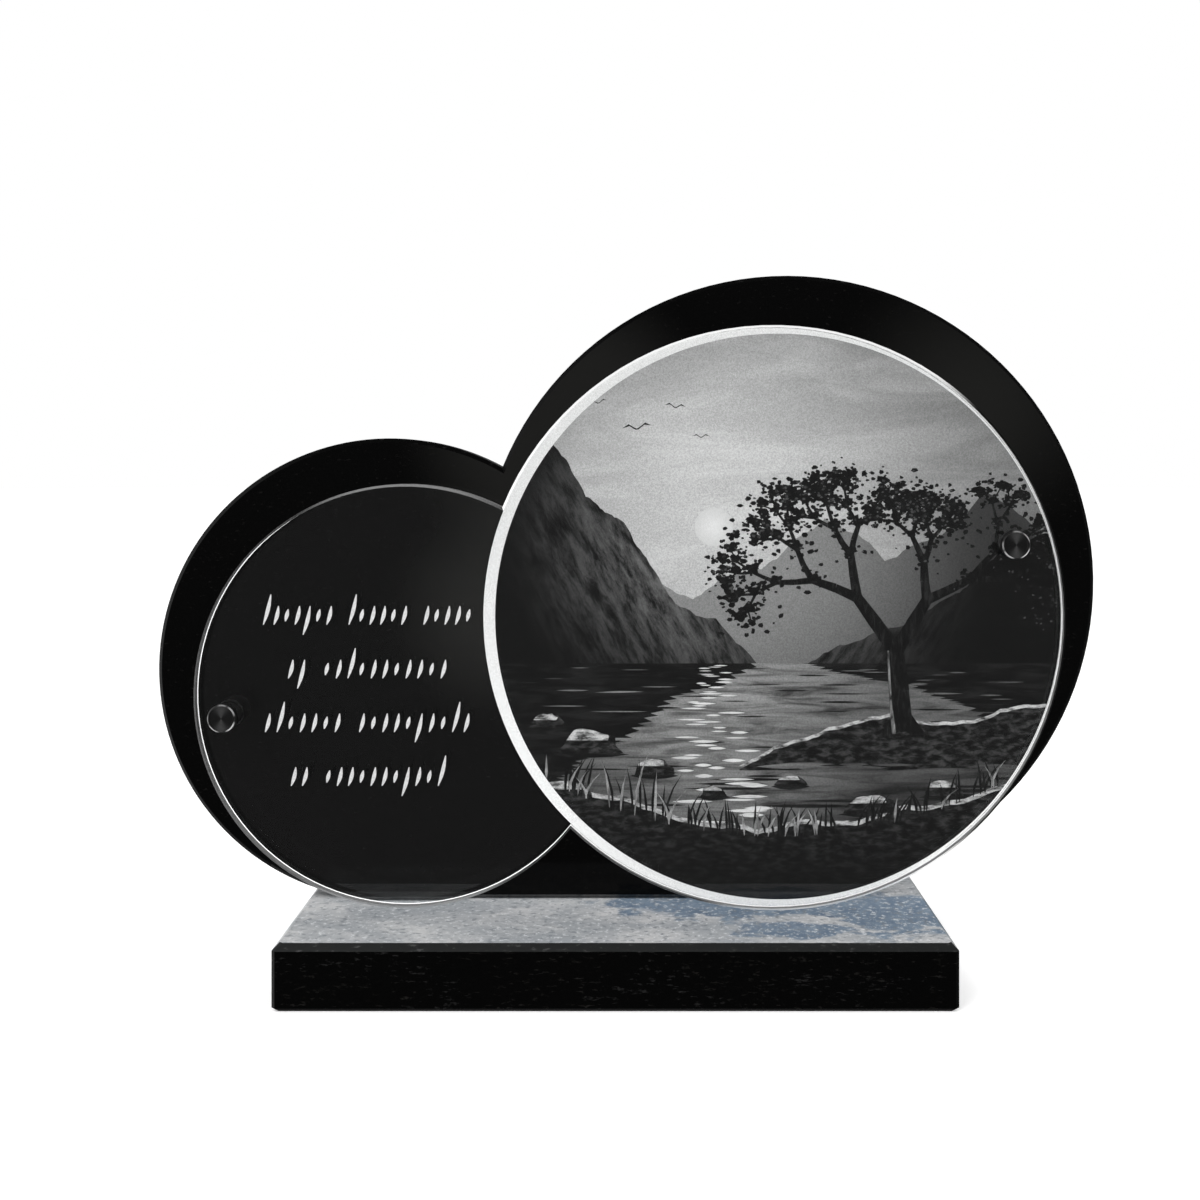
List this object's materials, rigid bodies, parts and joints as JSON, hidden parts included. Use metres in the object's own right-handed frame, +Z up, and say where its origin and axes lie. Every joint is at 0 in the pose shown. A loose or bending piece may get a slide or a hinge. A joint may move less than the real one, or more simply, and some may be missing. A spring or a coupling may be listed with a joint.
{
  "type": "standing memorial plaque",
  "caption": "Standing memorial of polished black granite: an upright double-disc panel on a slab base, with a clear glass plate held off it on black standoffs",
  "frame": {"origin": "centre of the base's underside", "axes": "+X to the right of someone facing the inscription, +Y from the front to the back, +Z up"},
  "size_m": [0.4506, 0.15, 0.3294],
  "materials": {
    "granite": "polished black granite",
    "glass": "clear float glass with polished edges and a sandblasted inscription",
    "metal": "black anodised, spun face",
    "seal": "matt black"
  },
  "bodies": {
    "root": {"base": "granite", "panel": "granite", "glass_plate": "glass", "cap_left": "metal", "cap_right": "metal", "barrel_left": "metal", "barrel_right": "metal", "gasket_front_left": "seal", "gasket_front_right": "seal", "gasket_rear_left": "seal", "gasket_rear_right": "seal"}
  },
  "joints": []
}
